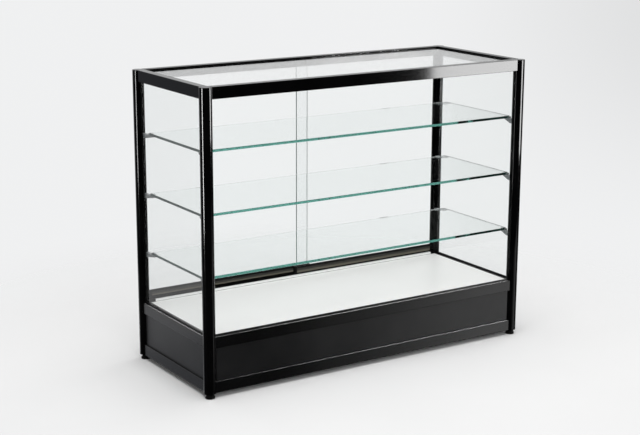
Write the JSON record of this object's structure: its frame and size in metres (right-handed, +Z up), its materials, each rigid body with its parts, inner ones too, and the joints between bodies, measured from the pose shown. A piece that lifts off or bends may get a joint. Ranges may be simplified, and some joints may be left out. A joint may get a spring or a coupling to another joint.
{
  "type": "glass display case",
  "caption": "Free-standing glass counter showcase with round black posts, glass shelves, a white deck over a closed base and sliding glass rear doors.",
  "frame": {"origin": "on the floor below the middle of the case", "axes": "+X along the front to the right, +Y to the back where the doors are, +Z up"},
  "size_m": [1.2, 0.47, 0.938],
  "materials": {
    "black_frame": "black satin powder coat",
    "black_panel": "black satin laminate",
    "white_board": "white satin laminate",
    "clear_glass": "clear polished",
    "shelf_glass": "clear polished, green edges",
    "rubber": "matte",
    "black_track": "black anodised",
    "bronze_shoe": "dark bronze anodised",
    "grey_metal": "satin cast",
    "steel": "plain",
    "black_plastic": "fine texture",
    "white_plastic": "satin"
  },
  "bodies": {
    "case": {"column_front_left": "black_frame", "column_front_right": "black_frame", "column_rear_left": "black_frame", "column_rear_right": "black_frame", "column_caps": "black_frame", "deck_cleats": "black_frame", "base_lower_rail_front": "black_frame", "base_lower_rail_rear": "black_frame", "base_lower_rail_left": "black_frame", "base_lower_rail_right": "black_frame", "base_upper_rail_front": "black_frame", "base_upper_rail_rear": "black_frame", "base_upper_rail_left": "black_frame", "base_upper_rail_right": "black_frame", "top_rail_front": "black_frame", "top_rail_rear": "black_frame", "top_rail_left": "black_frame", "top_rail_right": "black_frame", "base_panel_front": "black_panel", "base_panel_rear": "black_panel", "base_panel_left": "black_panel", "base_panel_right": "black_panel", "deck_panel": "white_board", "deck_rear_strip": "white_board", "front_glass": "clear_glass", "left_glass": "clear_glass", "right_glass": "clear_glass", "top_glass": "clear_glass", "shelf_bottom": "shelf_glass", "shelf_middle": "shelf_glass", "shelf_top": "shelf_glass", "glazing_gaskets": "rubber", "top_glass_gasket": "rubber", "door_bottom_track": "black_track", "door_top_track": "black_track", "shelf_clips_bottom": "grey_metal", "shelf_clips_middle": "grey_metal", "shelf_clips_top": "grey_metal", "rail_connectors": "steel", "foot_inserts": "steel", "track_end_blocks": "black_plastic"},
    "left_door": {"left_door_glass": "clear_glass", "left_door_shoe": "bronze_shoe", "left_door_shoe_caps": "black_plastic", "left_door_axles": "steel"},
    "left_door_wheel_a": {"left_door_wheel_a": "white_plastic"},
    "left_door_wheel_b": {"left_door_wheel_b": "white_plastic"},
    "right_door": {"right_door_glass": "clear_glass", "right_door_shoe": "bronze_shoe", "right_door_shoe_caps": "black_plastic", "right_door_axles": "steel"},
    "right_door_wheel_a": {"right_door_wheel_a": "white_plastic"},
    "right_door_wheel_b": {"right_door_wheel_b": "white_plastic"},
    "foot_front_left": {"foot_front_left": "black_plastic"},
    "foot_front_right": {"foot_front_right": "black_plastic"},
    "foot_rear_left": {"foot_rear_left": "black_plastic"},
    "foot_rear_right": {"foot_rear_right": "black_plastic"}
  },
  "joints": [
    {"name": "left_door_slide", "type": "slide", "parent": "case", "child": "left_door", "axis": [1, 0, 0], "range_m": [0, 0.5155]},
    {"name": "left_door_wheel_a_roll", "type": "hinge", "parent": "left_door", "child": "left_door_wheel_a", "pos_m": [-0.024, 0.21925, 0.1993], "axis": [0, 1, 0], "range_deg": [0, 6400]},
    {"name": "left_door_wheel_b_roll", "type": "hinge", "parent": "left_door", "child": "left_door_wheel_b", "pos_m": [-0.5013, 0.21925, 0.1993], "axis": [0, 1, 0], "range_deg": [0, 6400]},
    {"name": "right_door_slide", "type": "slide", "parent": "case", "child": "right_door", "axis": [1, 0, 0], "range_m": [-0.539, 0]},
    {"name": "right_door_wheel_a_roll", "type": "hinge", "parent": "right_door", "child": "right_door_wheel_a", "pos_m": [0.0475, 0.20875, 0.1993], "axis": [0, 1, 0], "range_deg": [-6400, 0]},
    {"name": "right_door_wheel_b_roll", "type": "hinge", "parent": "right_door", "child": "right_door_wheel_b", "pos_m": [0.5013, 0.20875, 0.1993], "axis": [0, 1, 0], "range_deg": [-6400, 0]},
    {"name": "foot_front_left_screw", "type": "slide", "parent": "case", "child": "foot_front_left", "axis": [0, 0, -1], "range_m": [0, 0.012]},
    {"name": "foot_front_right_screw", "type": "slide", "parent": "case", "child": "foot_front_right", "axis": [0, 0, -1], "range_m": [0, 0.012]},
    {"name": "foot_rear_left_screw", "type": "slide", "parent": "case", "child": "foot_rear_left", "axis": [0, 0, -1], "range_m": [0, 0.012]},
    {"name": "foot_rear_right_screw", "type": "slide", "parent": "case", "child": "foot_rear_right", "axis": [0, 0, -1], "range_m": [0, 0.012]}
  ],
  "couplings": [
    {"joint": "left_door_wheel_a_roll", "follows": "left_door_slide", "rad_per_m": 200},
    {"joint": "left_door_wheel_b_roll", "follows": "left_door_slide", "rad_per_m": 200},
    {"joint": "right_door_wheel_a_roll", "follows": "right_door_slide", "rad_per_m": 200},
    {"joint": "right_door_wheel_b_roll", "follows": "right_door_slide", "rad_per_m": 200}
  ]
}
